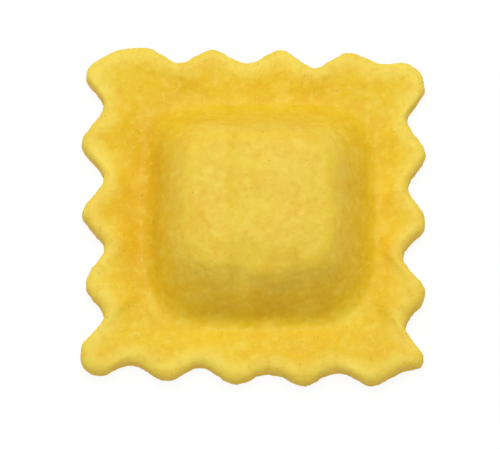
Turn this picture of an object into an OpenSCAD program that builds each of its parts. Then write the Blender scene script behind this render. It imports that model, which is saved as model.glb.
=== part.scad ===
// Square filled pasta: one pillow of filling sealed between two sheets of egg dough,
// with a rim that is pressed flat round the filling and cut with a fluted edge.
// It lies on its flat underside, with the origin at the middle of that underside.

/* [Overall] */
// Width across the flutes, left to right
piece_w = 40; // [34:0.5:56]
// Depth across the flutes, front to back
piece_d = 39.3; // [34:0.1:56]
// Height of the pillow's crown above the table
piece_h = 8; // [6:0.1:12]

/* [Pillow] */
// Width of the pillow at its foot
pillow_w = 27.2; // [20:0.1:28]
// Depth of the pillow at its foot
pillow_d = 27; // [20:0.1:28]
// How far the pillow sits to the right of the middle
pillow_off_x = 0.7; // [-1.5:0.1:1.5]
// How far the pillow sits behind the middle
pillow_off_y = -0.3; // [-1.5:0.1:1.5]
// Run of the pillow's side from its foot in to its shoulder
shoulder_run = 5.8; // [3:0.1:8]
// How much of the height the domed crown adds over the sides
crown_h = 1.8; // [0:0.1:3]
// Height of the lumps of filling that show through the sheet
lump_h = 0.4; // [0:0.05:0.8]

/* [Sealed rim] */
// Thickness of the two sheets where they are pressed together
rim_t = 2.5; // [1.9:0.1:3.5]
// Depth of the hollow pressed into the rim round the pillow
hollow_depth = 0.9; // [0:0.1:1.1]
// Unevenness of the rim's top along the edges
rim_wave = 0.12; // [0:0.02:0.2]
// Width of the rounding along the top of the cut
cut_round_w = 1.1; // [0.5:0.1:1.5]
// Height of that rounding
cut_round_h = 0.8; // [0.3:0.1:0.9]
// Rounding of the cut's lower edge
foot_round = 0.3; // [0.1:0.05:0.5]
// Depth of the crease where the two sheets meet in the cut
crease_depth = 0.14; // [0:0.02:0.3]
// Height of that crease
crease_h = 0.3; // [0.1:0.05:0.4]

/* [Fluted cut] */
// Spacing of the notches along the front and back edges
end_pitch = 7.9; // [6:0.1:10]
// Spacing of the notches along the left and right edges
side_pitch = 8.35; // [6:0.05:10]
// Depth of the notches in the back edge
back_notch = 1.7; // [0:0.1:2.2]
// Depth of the notches in the front edge
front_notch = 1.6; // [0:0.1:2.2]
// Depth of the notches in the left edge
left_notch = 2.6; // [0:0.1:2.8]
// Depth of the notches in the right edge
right_notch = 2.3; // [0:0.1:2.4]
// First notch of the back edge, from the left-hand corner
back_first = 11.4; // [4:0.1:12]
// First notch of the front edge, from the left-hand corner
front_first = 6.1; // [4:0.1:12]
// First notch of the left edge, from the front corner
left_first = 7; // [4:0.1:12]
// First notch of the right edge, from the front corner
right_first = 6.1; // [4:0.1:12]
// Length at the end of the front and back edges that no notch is centred in
end_clear = 2; // [1:0.5:8]
// Length at the end of the left and right edges that no notch is centred in
side_clear = 5; // [1:0.5:8]
// Angle of the back edge, as the hand left it
back_lean = 1.6; // [-3:0.1:3]
// Angle of the front edge
front_lean = 1.5; // [-3:0.1:3]
// Bulge of the front edge at its middle
front_bow = 0.45; // [-1:0.1:1]
// Bulge of the left edge at its middle
left_bow = -0.3; // [-1:0.1:1]

/* [Hidden] */

dough = "#EBC040";

cut_points = 288;           // points round the cut; further in there are half and a quarter as many
// Exponents of the superellipse that rounds the corners: higher is squarer
back_right_corner = 9;
back_left_corner = 6.5;
front_left_corner = 16;
front_right_corner = 14;
crown_curve = 2.2;          // higher is flatter on top
back_foot_corner = 5.2;
front_foot_corner = 3.5;
crown_corner = 3.2;

// Cuts of each edge as shares of its notch depth: a notch, the crest after it, and so on
back_cut = [1.1, 0.08, 1, 0, 1.15, 0, 0.7, 0];
front_cut = [1.1, 0, 1.15, 0, 0.8, 0, 0.95, 0, 0.9, 0];
left_cut = [1.08, 0.2, 1.03, 0, 0.97, 0, 0.96, -0.16];
right_cut = [1.05, 0.04, 1.2, 0, 0.9, 0, 0.92, -0.1];

hollow_z = rim_t - hollow_depth;
crease_z = rim_t / 2;
wall_top = rim_t - cut_round_h;

// Lumps of filling: place as a share of the half pillow, spread and height as shares too
lumps = [
    [-0.42, 0.30, 0.45, 0.7],
    [0.46, 0.38, 0.42, 0.8],
    [-0.38, -0.34, 0.38, 0.5],
    [0.30, -0.30, 0.40, 0.9],
    [-0.05, 0.05, 0.20, -0.8],
    [-0.08, -0.72, 0.20, -0.9],
    [0.42, -0.78, 0.15, -0.6],
];

function mix(a, b, t) = a + (b - a) * t;
function clamp01(t) = min(1, max(0, t));
function smooth(t) = let (c = clamp01(t)) c * c * (3 - 2 * c);
function total(list, i = 0) = i < len(list) ? list[i] + total(list, i + 1) : 0;

// Point i of m, evenly spaced along the edges of a square from -1 to 1, anticlockwise
function square_point(i, m) =
    let (along = 4 * i / m, side = floor(along), f = 2 * (along - side) - 1)
    [[1, f], [-f, 1], [-1, -f], [f, -1]][side];

// The same point drawn in to a superellipse, which rounds the corners
function rounded_point(i, m, squareness) =
    let (p = square_point(i, m))
    p / pow(pow(abs(p.x), squareness) + pow(abs(p.y), squareness), 1 / squareness);

// Squareness of the corner that the point lies towards, for the pillow's foot and for the cut
function foot_corner(p) = p.y > 0 ? back_foot_corner : front_foot_corner;
function cut_corner(p) =
    p.y > 0
    ? (p.x > 0 ? back_right_corner : back_left_corner)
    : (p.x > 0 ? front_right_corner : front_left_corner);

// Share of the notch depth that is cut away at a place along an edge of the given length
function cut_share(at, length, first, clear, pitch, cuts) =
    let (
        u = 2 * (at + length / 2 - first) / pitch,
        k = floor(u),
        last = 2 * floor((length - clear - first) / pitch),
        here = k < 0 || k > last + 1 ? 0 : cuts[k % len(cuts)],
        next = k < -1 || k > last ? 0 : cuts[(k + 1) % len(cuts)]
    )
    mix(here, next, (1 - cos(180 * (u - k))) / 2);

// How far each edge reaches beyond its straight line
function back_reach(x) =
    -x * tan(back_lean)
    - back_notch * cut_share(x, piece_w, back_first, end_clear, end_pitch, back_cut);
function front_reach(x) =
    x * tan(front_lean) + front_bow * cos(180 * x / piece_w)
    - front_notch * cut_share(x, piece_w, front_first, end_clear, end_pitch, front_cut);
function left_reach(y) =
    left_bow * cos(180 * y / piece_d)
    - left_notch * cut_share(y, piece_d, left_first, side_clear, side_pitch, left_cut);
function right_reach(y) =
    -right_notch * cut_share(y, piece_d, right_first, side_clear, side_pitch, right_cut);

// Point of the pillow's foot, for a share of the way out from the pillow's middle
function pillow_point(i, m, share) =
    let (p = share * rounded_point(i, m, mix(crown_corner, foot_corner(square_point(i, m)), share)))
    [p.x * pillow_w / 2 + pillow_off_x, p.y * pillow_d / 2 + pillow_off_y];

// Point of the cut, drawn in by an inset
function cut_point(i, m, inset) =
    let (
        p = rounded_point(i, m, cut_corner(square_point(i, m))),
        x = p.x * piece_w / 2,
        y = p.y * piece_d / 2,
        out_x = p.x > 0 ? right_reach(y) : left_reach(y),
        out_y = p.y > 0 ? back_reach(x) : front_reach(x)
    )
    [x + p.x * (out_x - inset), y + p.y * (out_y - inset)];

// Ring round the rim; t is 0 at the cut and 1 at the pillow's foot
function rim_ring(m, z, inset = 0, t = 0) =
    [for (i = [0:m - 1])
        let (
            p = mix(cut_point(i, m, inset), pillow_point(i, m, 1), t),
            wave = z > wall_top ? rim_wave * sin(720 * i / m + 50) : 0
        )
        [p.x, p.y, z + mix(wave, 0, t)]];

// Height of the pillow above the table, at a distance in from its foot
function pillow_z(run) =
    let (side = clamp01(run / shoulder_run), inner = clamp01(run / (pillow_w / 2)))
    mix(hollow_z, piece_h - crown_h, (1 - cos(180 * side)) / 2)
    + crown_h * (1 - pow(1 - inner, crown_curve));

function lump_z(x, y) =
    let (foot = pow(pow(abs(x), 4) + pow(abs(y), 4), 0.25))
    lump_h * smooth((1 - foot) * 3) * total([for (l = lumps)
        l[3] * exp(-(pow(x - l[0], 2) + pow(y - l[1], 2)) / pow(l[2], 2))]);

function pillow_ring(m, run) =
    let (share = 1 - run / (pillow_w / 2))
    [for (i = [0:m - 1])
        let (
            p = pillow_point(i, m, share),
            lump_x = (p.x - pillow_off_x) * 2 / pillow_w,
            lump_y = (p.y - pillow_off_y) * 2 / pillow_d
        )
        [p.x, p.y, pillow_z(run) + lump_z(lump_x, lump_y)]];

// Triangles between two rings, where the upper one has as many points as the lower or half of them
function band(lower, upper, m_lower, m_upper) =
    m_lower == m_upper
    ? [for (i = [0:m_lower - 1])
        let (j = (i + 1) % m_lower)
        each [[lower + i, upper + i, upper + j], [lower + i, upper + j, lower + j]]]
    : [for (i = [0:m_upper - 1])
        let (a = 2 * i, b = a + 1, c = (a + 2) % m_lower, j = (i + 1) % m_upper)
        each [[lower + a, upper + i, lower + b],
              [lower + b, upper + i, upper + j],
              [lower + b, upper + j, lower + c]]];

// Closes a stack of rings into a solid, with a point at the middle of each end
module lofted(rings, bottom, top) {
    counts = [for (r = rings) len(r)];
    starts = [for (k = 0, s = 0; k < len(rings); s = s + counts[k], k = k + 1) s];
    points = [for (r = rings) each r];
    last = len(rings) - 1;
    n = len(points);
    polyhedron(
        points = concat(points, [bottom, top]),
        faces = concat(
            [for (i = [0:counts[0] - 1]) [n, i, (i + 1) % counts[0]]],
            [for (k = [0:last - 1]) each band(starts[k], starts[k + 1], counts[k], counts[k + 1])],
            [for (i = [0:counts[last] - 1])
                [starts[last] + i, n + 1, starts[last] + (i + 1) % counts[last]]]
        )
    );
}

// The whole piece as one skin: up the cut, over the rim, down into the hollow and over the pillow
module pasta_skin() {
    m = 16 * round(cut_points / 16);
    wall = [
        rim_ring(m, -0.3 * foot_round, 1.7 * foot_round),
        rim_ring(m, 0.3 * foot_round, 0.3 * foot_round),
        rim_ring(m, foot_round),
        rim_ring(m, crease_z - crease_h / 2),
        rim_ring(m, crease_z, crease_depth),
        rim_ring(m, crease_z + crease_h / 2),
    ];
    over_the_cut = [for (a = [25:25:75])
        rim_ring(m, wall_top + cut_round_h * sin(a), cut_round_w * (1 - cos(a)))];
    rim = [for (t = [0, 0.25, 0.5, 0.75, 1])
        rim_ring(t < 0.5 ? m : m / 2, mix(rim_t, hollow_z, smooth(t)), cut_round_w, t)];
    side = [for (s = [0.08, 0.18, 0.29, 0.4, 0.5, 0.6, 0.72, 0.86])
        pillow_ring(m / 2, s * shoulder_run)];
    top = [for (s = [0, 0.25, 0.5, 0.75])
        pillow_ring(s < 0.5 ? m / 2 : m / 4, mix(shoulder_run, pillow_w / 2, s))];
    lofted(
        concat(wall, over_the_cut, rim, side, top),
        [0, 0, -0.3 * foot_round],
        [pillow_off_x, pillow_off_y, pillow_z(pillow_w / 2) + lump_z(0, 0)]
    );
}

module filled_pasta_square() {
    color(dough)
    intersection() {
        pasta_skin();
        translate([-piece_w, -piece_d, 0]) cube([2 * piece_w, 2 * piece_d, 2 * piece_h]);
    }
}

filled_pasta_square();
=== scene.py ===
import bpy
import bmesh
import math
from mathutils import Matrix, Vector, kdtree, noise


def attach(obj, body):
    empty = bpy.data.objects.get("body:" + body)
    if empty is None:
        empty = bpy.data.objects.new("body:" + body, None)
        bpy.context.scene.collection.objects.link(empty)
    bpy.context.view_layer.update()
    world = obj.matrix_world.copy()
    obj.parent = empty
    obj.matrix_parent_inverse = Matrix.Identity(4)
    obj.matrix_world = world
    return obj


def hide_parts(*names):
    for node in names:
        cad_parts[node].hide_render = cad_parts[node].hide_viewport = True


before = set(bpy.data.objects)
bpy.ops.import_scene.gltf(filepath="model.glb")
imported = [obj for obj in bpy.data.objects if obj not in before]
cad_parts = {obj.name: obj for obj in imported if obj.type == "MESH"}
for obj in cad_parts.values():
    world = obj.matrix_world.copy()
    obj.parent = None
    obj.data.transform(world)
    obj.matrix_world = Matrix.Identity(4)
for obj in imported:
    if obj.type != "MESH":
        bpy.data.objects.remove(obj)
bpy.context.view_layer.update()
mm = 0.001


# Node helpers

class Level:
    # one socket of a node tree, so that shader maths can be written as it is read
    def __init__(self, paint, socket):
        self.paint = paint
        self.socket = socket

    def maths(self, operation, first, second):
        return self.paint.node("ShaderNodeMath", {"operation": operation}, {0: first, 1: second})

    def __add__(self, other):
        return self.maths("ADD", self, other)

    def __radd__(self, other):
        return self.maths("ADD", other, self)

    def __sub__(self, other):
        return self.maths("SUBTRACT", self, other)

    def __rsub__(self, other):
        return self.maths("SUBTRACT", other, self)

    def __mul__(self, other):
        return self.maths("MULTIPLY", self, other)

    def __rmul__(self, other):
        return self.maths("MULTIPLY", other, self)

    def between(self, low, high):
        # 0 below low and 1 above high, eased; low may be the larger one
        return self.paint.node("ShaderNodeMapRange", {"interpolation_type": "SMOOTHSTEP"},
                               {"Value": self, "From Min": low, "From Max": high})


class Paint:
    # the node tree of a material or world, and the one way that nodes are added to it
    def __init__(self, owner):
        owner.use_nodes = True
        self.tree = owner.node_tree
        self.tree.nodes.clear()

    def node(self, kind, settings=None, values=None, out=0):
        made = self.tree.nodes.new(kind)
        for name, value in (settings or {}).items():
            setattr(made, name, value)
        for key, value in (values or {}).items():
            if isinstance(value, Level):
                self.tree.links.new(value.socket, made.inputs[key])
            else:
                made.inputs[key].default_value = value
        return Level(self, made.outputs[out]) if made.outputs else None

    def fact(self, name):
        # what the mesh itself stores at each point
        return self.node("ShaderNodeAttribute", {"attribute_name": name}, out="Fac")

    def grain(self, size, detail=2.0, roughness=0.5, stretch=(1, 1, 1), shift=0.0):
        # soft noise whose blobs are about size across, in metres
        place = self.node("ShaderNodeTexCoord", out="Object")
        moved = self.node("ShaderNodeMapping", values={
            "Vector": place, "Scale": stretch, "Location": (shift, shift, shift)})
        return self.node("ShaderNodeTexNoise", values={
            "Vector": moved, "Scale": 1 / size, "Detail": detail, "Roughness": roughness})

    def specks(self, size):
        # distance to scattered points, in cells about size across
        place = self.node("ShaderNodeTexCoord", out="Object")
        return self.node("ShaderNodeTexVoronoi", values={"Vector": place, "Scale": 1 / size})

    def blend(self, share, below, above):
        return self.node("ShaderNodeMix", {"data_type": "RGBA"},
                         {0: share, 6: below, 7: above}, out=2)


def screenColour(red, green, blue):
    # a colour as a screen shows it, out of 255, made linear
    def linear(c):
        c = c / 255
        return c / 12.92 if c <= 0.04045 else ((c + 0.055) / 1.055) ** 2.4
    return (linear(red), linear(green), linear(blue), 1)


# The raviolo

pasta = {
    "voxel": 0.21 * mm,
    "smoothing": 4,            # passes that soften the facets
    "seed": 7,
    "upright": 0.35,           # skin whose normal rises less than this is upright
    "cutBand": (0.5 * mm, 1.9 * mm),             # upright skin between these heights is the cut
    "cutFade": (2.0 * mm, 2.6 * mm),             # heights over which the cut's look ends
    "border": (0.2 * mm, 3.2 * mm),              # distances from the cut over which the border fades
    "rimTop": 2.4 * mm,        # the pillow rises from here
    "crown": 7.9 * mm,
    "sideStart": (2.0 * mm, 2.9 * mm),           # heights over which the pillow's sides begin
    "pillowAt": (0.7 * mm, -0.3 * mm),
    "pillowFoot": (13.6 * mm, 13.5 * mm),        # half its width and depth where it meets the rim
    "lumps": 0.16 * mm,        # filling that shows through the sheet
    # creases: place across, depth, width, and how far they wander
    "valley": (-1.1 * mm, 0.34 * mm, 1.4 * mm, 0.6 * mm),      # dip between the lumps
    "leftFold": (-11.9 * mm, 0.38 * mm, 1.2 * mm, 0.7 * mm),   # press along the left foot
    "nearSags": [(-8.8 * mm, 0.26 * mm, 1.6 * mm, 0.6 * mm),   # near shoulder and near foot
                 (-13.0 * mm, 0.32 * mm, 1.2 * mm, 0.6 * mm)],
    "fingers": [(-1.2 * mm, 0.32 * mm, 1.5 * mm, 0.5 * mm),    # folds that run down the near side
                (5.4 * mm, 0.36 * mm, 1.5 * mm, 0.5 * mm),
                (-5.6 * mm, 0.2 * mm, 1.5 * mm, 0.5 * mm)],
    "seam": (1.15 * mm, 0.16 * mm, 0.22 * mm, 0.18 * mm),      # join of the two sheets in the cut
    # distances from the pillow's middle over which fold and sags end and the fingers begin
    "foldEnd": (7.5 * mm, 11.5 * mm),
    "sagEnd": (6.5 * mm, 11.5 * mm),
    "fingerStart": (3 * mm, 8 * mm),
    "press": 0.07 * mm,        # unevenness of the rim's top
    "grain": 0.035 * mm,
    "edgeWander": 0.16 * mm,   # unevenness of the cut seen from above
    "tear": 0.06 * mm,         # upright marks that the cutter leaves
    "dimple": 0.08 * mm,       # how far the underside comes off the table in places
    "footShade": {"left": 0.85, "right": 0.3, "back": 0.3, "front": 0.0},  # painted shade on the rim beside the pillow's foot
    "footShadeBand": (0.8, 0.95, 1.0, 1.3),          # where it begins, is full, fades and ends; the foot is 1
}


def ease(value, low, high):
    share = min(1, max(0, (value - low) / (high - low)))
    return share * share * (3 - 2 * share)


def bell(value, width):
    return math.exp(-(value / width) ** 2)


def crease(across, shape, course):
    # depth of a soft crease at a distance across it; course is where the noise bends it
    at, depth, width, wander = shape
    return depth * bell(across - at - wander * noise.noise(Vector(course)), width)


def smoothCopy(nodeName):
    # the solid's skin as one even, rounded mesh
    skin = bmesh.new()
    skin.from_mesh(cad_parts[nodeName].data)
    bmesh.ops.remove_doubles(skin, verts=skin.verts, dist=1e-6)
    bmesh.ops.recalc_face_normals(skin, faces=skin.faces)
    mesh = bpy.data.meshes.new("raviolo")
    skin.to_mesh(mesh)
    skin.free()
    piece = bpy.data.objects.new("raviolo", mesh)
    bpy.context.scene.collection.objects.link(piece)
    even = piece.modifiers.new("even", "REMESH")
    even.mode = "VOXEL"
    even.voxel_size = pasta["voxel"]
    ready = bpy.data.meshes.new_from_object(
        piece.evaluated_get(bpy.context.evaluated_depsgraph_get()))
    piece.modifiers.clear()
    piece.data = ready
    bpy.data.meshes.remove(mesh)
    return piece


def roundOff(skin, passes):
    for step in range(passes):
        bmesh.ops.smooth_vert(skin, verts=skin.verts, factor=0.5,
                              use_axis_x=True, use_axis_y=True, use_axis_z=True)
    skin.normal_update()


def nearestCut(skin):
    # distance in plan from any point to the cut
    low, high = pasta["cutBand"]
    cut = [v.co for v in skin.verts
           if abs(v.normal.z) < pasta["upright"] and low < v.co.z < high]
    tree = kdtree.KDTree(len(cut))
    for index, place in enumerate(cut):
        tree.insert((place.x, place.y, 0), index)
    tree.balance()
    return lambda place: tree.find((place.x, place.y, 0))[2]


def footShadeShare(place):
    # how much painted shade darkens the rim beside the pillow's foot; 0 out on the rim
    centreX, centreY = pasta["pillowAt"]
    halfX, halfY = pasta["pillowFoot"]
    across = (place.x - centreX) / halfX
    along = (place.y - centreY) / halfY
    sideways = across ** 4
    lengthways = along ** 4
    reach = (sideways + lengthways) ** 0.25
    if reach == 0:
        return 0
    sides = pasta["footShade"]["right" if across > 0 else "left"]
    ends = pasta["footShade"]["back" if along > 0 else "front"]
    strength = (sides * sideways + ends * lengthways) / (sideways + lengthways)
    begins, full, fades, ended = pasta["footShadeBand"]
    return strength * ease(reach, begins, full) * (1 - ease(reach, fades, ended))


def factsOf(place, normal, inFromCut):
    # what kind of skin a point is, each from 0 to 1
    return {
        "lift": ease(place.z, pasta["rimTop"], pasta["crown"]),
        "top": ease(normal.z, -0.1, 0.3),
        "under": ease(-normal.z, 0.5, 0.9),
        "wall": (1 - ease(abs(normal.z), 0.3, 0.75)) * (1 - ease(place.z, *pasta["cutFade"])),
        "edge": 1 - ease(inFromCut, *pasta["border"]),
        "footShade": footShadeShare(place),
        "steep": ease(1 - normal.z, 0.08, 0.8) * ease(place.z, *pasta["sideStart"]),
    }


def pillowMove(place, spot, normal, facts):
    # the filling under the sheet, the dip between its lumps, and the folds down its sides
    centreX, centreY = pasta["pillowAt"]
    lift = facts["lift"]
    lumps = noise.noise(spot * 0.33 + Vector((4.1, 0, 0))) + 0.5 * noise.noise(spot * 0.75)
    out = lumps * pasta["lumps"] * lift
    out -= crease(place.x, pasta["valley"], (2.7, spot.y * 0.25, 0)) * lift ** 2
    beside = 1 - ease(abs(place.y - centreY), *pasta["foldEnd"])
    out -= crease(place.x, pasta["leftFold"], (6.1, spot.y * 0.2, 0)) * beside
    beside = 1 - ease(abs(place.x - centreX), *pasta["sagEnd"])
    for sag in pasta["nearSags"]:
        out -= crease(place.y, sag, (spot.x * 0.2, sag[0] / mm, 0)) * beside
    nearSide = ease(centreY - place.y, *pasta["fingerStart"])
    for finger in pasta["fingers"]:
        out -= crease(place.x, finger, (finger[0] / mm, spot.y * 0.4, 3)) * nearSide * lift ** 0.5
    return normal * out * facts["top"]


def rimMove(spot, normal, facts):
    # the pressed rim's unevenness, and the semolina's fine grain all over
    press = noise.noise(spot * 0.42 + Vector((0, 9.3, 0))) + 0.6 * noise.noise(spot * 1.1)
    rise = press * pasta["press"] * facts["top"] * (1 - facts["lift"])
    fine = noise.fractal(spot * 1.9, 0.9, 2.1, 3)
    grain = fine * pasta["grain"] * (1 - facts["under"]) * (0.5 + 0.5 * facts["top"])
    return Vector((0, 0, rise)) + normal * grain


def cutMove(place, spot, normal, facts):
    # the cut wanders in plan, is torn upright, and shows the seam of the two sheets
    outward = Vector((normal.x, normal.y, 0))
    around = Vector((spot.x * 0.55, spot.y * 0.55, 0))
    wander = noise.noise(around) + 0.5 * noise.noise(around * 2.3)
    out = wander * pasta["edgeWander"] * facts["edge"] * (1 - facts["lift"])
    tear = noise.noise(Vector((spot.x * 3.1, spot.y * 3.1, spot.z * 0.5)))
    out += tear * pasta["tear"] * facts["wall"]
    out -= crease(place.z, pasta["seam"], around * 0.8 + Vector((0, 0, 5))) * facts["wall"]
    return outward * out


def underMove(spot, facts):
    # the underside stays on the table, with shallow dimples
    dimple = max(0, noise.noise(spot * 0.6 + Vector((0, 0, 8))))
    return Vector((0, 0, dimple * pasta["dimple"] * facts["under"]))


def sculpt(piece):
    skin = bmesh.new()
    skin.from_mesh(piece.data)
    roundOff(skin, pasta["smoothing"])
    toCut = nearestCut(skin)
    noise.seed_set(pasta["seed"])
    moves = []
    allFacts = []
    for vert in skin.verts:
        spot = vert.co / mm    # the noise is laid out in millimetres
        facts = factsOf(vert.co, vert.normal, toCut(vert.co))
        moves.append(pillowMove(vert.co, spot, vert.normal, facts)
                     + rimMove(spot, vert.normal, facts)
                     + cutMove(vert.co, spot, vert.normal, facts)
                     + underMove(spot, facts))
        allFacts.append(facts)
    for vert, move in zip(skin.verts, moves):
        vert.co += move
        vert.co.z = max(0, vert.co.z)
    for name in allFacts[0]:
        layer = skin.verts.layers.float.new(name)
        for vert, facts in zip(skin.verts, allFacts):
            vert[layer] = facts[name]
    for face in skin.faces:
        face.smooth = True
    skin.to_mesh(piece.data)
    skin.free()


doughLook = {
    "rim": screenColour(244, 206, 38),
    "pillow": screenColour(243, 208, 66),
    # painted highlight for the lobes and the border by the cut
    "edgeHighlight": screenColour(251, 226, 94),
    # deeper yellow, for the dough's uneven tone and for the painted shade beside the pillow's foot
    "deep": screenColour(230, 174, 14),
    # painted shade for the pillow's steep sides
    "steepShade": screenColour(226, 165, 60),
    "pale": screenColour(252, 226, 92),
    # the cut's colour, partly the dough's core and partly painted fill light on the shaded cut
    "cut": screenColour(255, 211, 80),
    "olive": screenColour(196, 160, 48),
    "brown": screenColour(176, 120, 40),
    "flour": screenColour(250, 238, 196),
    "border": 0.8,             # shares of the colours above
    # stretch is the share of the painted shade on the pillow's steep sides
    "stretch": 0.4,
    "herb": 0.32,
    "bran": 0.4,
    "semolina": 0.45,
    "insideAndFill": 0.8,
    "dust": 0.55,
    "roughness": 0.55,
    "specular": 0.35,
    "scatter": 0.3,            # light that goes in under the surface, and how far
    "scatterReach": 1.2 * mm,
    "bump": 0.09 * mm,
}


def paintDough():
    material = bpy.data.materials.new("egg_dough")
    paint = Paint(material)
    look = doughLook
    wall = paint.fact("wall")
    broad = paint.grain(6.5 * mm, 1.0, 0.4)
    patch = paint.grain(2.3 * mm, 2.0, 0.55, shift=0.013)
    mottle = paint.grain(0.85 * mm, 2.0, 0.6, shift=0.031)
    fine = paint.grain(0.26 * mm, 2.0, 0.6)
    rolled = paint.grain(1.5 * mm, 2.0, 0.5, (1.0, 0.22, 1.0), 0.007)

    # rim and pillow, a painted highlight on the lobes by the cut, painted shade on the rim beside the
    # foot, and painted shade on the pillow's steep sides
    colour = paint.blend(paint.fact("lift").between(0.25, 0.95), look["rim"], look["pillow"])
    colour = paint.blend(paint.fact("edge").between(0.0, 1.0) * look["border"], colour, look["edgeHighlight"])
    colour = paint.blend(paint.fact("footShade") * (0.45 + broad * 0.35), colour, look["deep"])
    colour = paint.blend(paint.fact("steep") * look["stretch"], colour, look["steepShade"])

    # broad, middling and fine unevenness: from where to where, how much, and towards which colour
    for grain, low, high, share, shade in [
            (broad, 0.42, 0.66, 0.16, "deep"),
            (patch, 0.5, 0.74, 0.2, "deep"),
            (patch, 0.5, 0.3, 0.26, "pale"),
            (mottle, 0.52, 0.72, 0.3, "deep"),
            (mottle, 0.46, 0.3, 0.34, "pale"),
            (rolled, 0.55, 0.75, 0.16, "pale"),
            (fine, 0.55, 0.75, 0.25, "deep")]:
        colour = paint.blend(grain.between(low, high) * share, colour, look[shade])

    # specks of bran and pepper-fine herb, and pale semolina
    dark = paint.specks(0.9 * mm).between(0.17, 0.07) * patch.between(0.45, 0.6)
    colour = paint.blend(dark * look["herb"], colour, look["olive"])
    bran = paint.specks(1.9 * mm).between(0.08, 0.035)
    colour = paint.blend(bran * look["bran"], colour, look["brown"])
    semolina = paint.specks(0.62 * mm).between(0.22, 0.1) * mottle.between(0.5, 0.62)
    colour = paint.blend(semolina * look["semolina"], colour, look["pale"])

    # the cut shows the dough's core, painted paler as well to stand in for fill light on the shaded cut
    # (painted light), and the underside keeps the board's flour
    colour = paint.blend(wall.between(0.2, 0.8) * look["insideAndFill"], colour, look["cut"])
    dust = (paint.fact("under").between(0.4, 0.9)
            * paint.grain(2.2 * mm, 4.0, 0.7, shift=0.05).between(0.36, 0.72))
    colour = paint.blend(dust * look["dust"], colour, look["flour"])

    roughness = (look["roughness"] + (mottle - 0.5) * 0.22 + (fine - 0.5) * 0.12
                 + dust * 0.2 + wall * 0.1)
    height = (patch * 0.35 + mottle * 0.42 + fine * 0.22 + semolina * 0.22
              - dark * 0.14 + rolled * 0.18)
    bump = paint.node("ShaderNodeBump", values={
        "Strength": 0.55, "Distance": look["bump"], "Height": height})
    shader = paint.node("ShaderNodeBsdfPrincipled", values={
        "Base Color": colour, "Roughness": roughness, "Normal": bump,
        "IOR": 1.42, "Subsurface Weight": look["scatter"],
        "Subsurface Radius": (1.0, 0.55, 0.12), "Subsurface Scale": look["scatterReach"],
        "Specular IOR Level": look["specular"]})
    paint.node("ShaderNodeOutputMaterial", values={"Surface": shader})
    return material


print("raviolo: even skin")
raviolo = smoothCopy("filled_pasta_square")
print("raviolo: sculpting", len(raviolo.data.vertices), "points")
sculpt(raviolo)
raviolo.data.materials.clear()
raviolo.data.materials.append(paintDough())
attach(raviolo, "root")
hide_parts("filled_pasta_square")


# Table, light and camera

studio = {
    "tableSize": 1.2,
    "tableGap": 0.02 * mm,     # keeps the table's face off the underside
    "tableWhite": 0.94,
    "plain": 0.88,             # share of the table that the camera sees as plain white
    "plainWhite": 1.03,
    "world": 0.40,
    "keyPower": 1.25,
    "keySize": 0.30,
    "keyAt": (-0.02, 0.16, 0.42),
    "elevation": 75,
    "distance": 1.2,
    "frameWidth": 57.6 * mm,   # what the picture spans at the table
    "aim": (-0.3 * mm, -0.9 * mm, 0),
}


def paintTable():
    material = bpy.data.materials.new("table_white")
    paint = Paint(material)
    white = studio["tableWhite"]
    matt = paint.node("ShaderNodeBsdfDiffuse", values={
        "Color": (white, white, white, 1), "Roughness": 0.6})
    plain = paint.node("ShaderNodeEmission", values={
        "Color": (1, 1, 1, 1), "Strength": studio["plainWhite"]})
    seen = paint.node("ShaderNodeLightPath", out="Is Camera Ray")
    both = paint.node("ShaderNodeMixShader", values={0: seen * studio["plain"], 1: matt, 2: plain})
    paint.node("ShaderNodeOutputMaterial", values={"Surface": both})
    return material


def makeTable():
    sheet = bmesh.new()
    bmesh.ops.create_grid(sheet, x_segments=1, y_segments=1, size=studio["tableSize"] / 2)
    bmesh.ops.translate(sheet, verts=sheet.verts, vec=(0, 0, -studio["tableGap"]))
    mesh = bpy.data.meshes.new("table")
    sheet.to_mesh(mesh)
    sheet.free()
    table = bpy.data.objects.new("table", mesh)
    bpy.context.scene.collection.objects.link(table)
    table.data.materials.append(paintTable())


def makeWorld():
    # an even fill on the dough, and plain white where the camera looks past the table
    world = bpy.data.worlds.new("studio")
    bpy.context.scene.world = world
    paint = Paint(world)
    fill = paint.node("ShaderNodeBackground", values={
        "Color": (1, 1, 1, 1), "Strength": studio["world"]})
    plain = paint.node("ShaderNodeBackground", values={"Color": (1, 1, 1, 1), "Strength": 1})
    seen = paint.node("ShaderNodeLightPath", out="Is Camera Ray")
    both = paint.node("ShaderNodeMixShader", values={0: seen, 1: fill, 2: plain})
    paint.node("ShaderNodeOutputWorld", values={"Surface": both})


def aimAt(thing, target):
    away = Vector(target) - thing.location
    thing.rotation_euler = away.to_track_quat("-Z", "Y").to_euler()


def makeKey():
    lamp = bpy.data.lights.new("key", "AREA")
    lamp.shape = "DISK"
    lamp.size = studio["keySize"]
    lamp.energy = studio["keyPower"]
    key = bpy.data.objects.new("key", lamp)
    key.location = studio["keyAt"]
    aimAt(key, (0, 0, 0))
    bpy.context.scene.collection.objects.link(key)


def placeCamera():
    lens = bpy.data.cameras.new("camera")
    lens.sensor_width = 36
    lens.lens = lens.sensor_width * studio["distance"] / studio["frameWidth"]
    lens.clip_start = 0.01
    camera = bpy.data.objects.new("camera", lens)
    rise = math.radians(studio["elevation"])
    aim = Vector(studio["aim"])
    camera.location = aim + studio["distance"] * Vector((0, -math.cos(rise), math.sin(rise)))
    aimAt(camera, aim)
    bpy.context.scene.collection.objects.link(camera)
    bpy.context.scene.camera = camera


print("table, light and camera")
makeTable()
makeWorld()
makeKey()
placeCamera()
bpy.context.scene.view_settings.view_transform = "Standard"
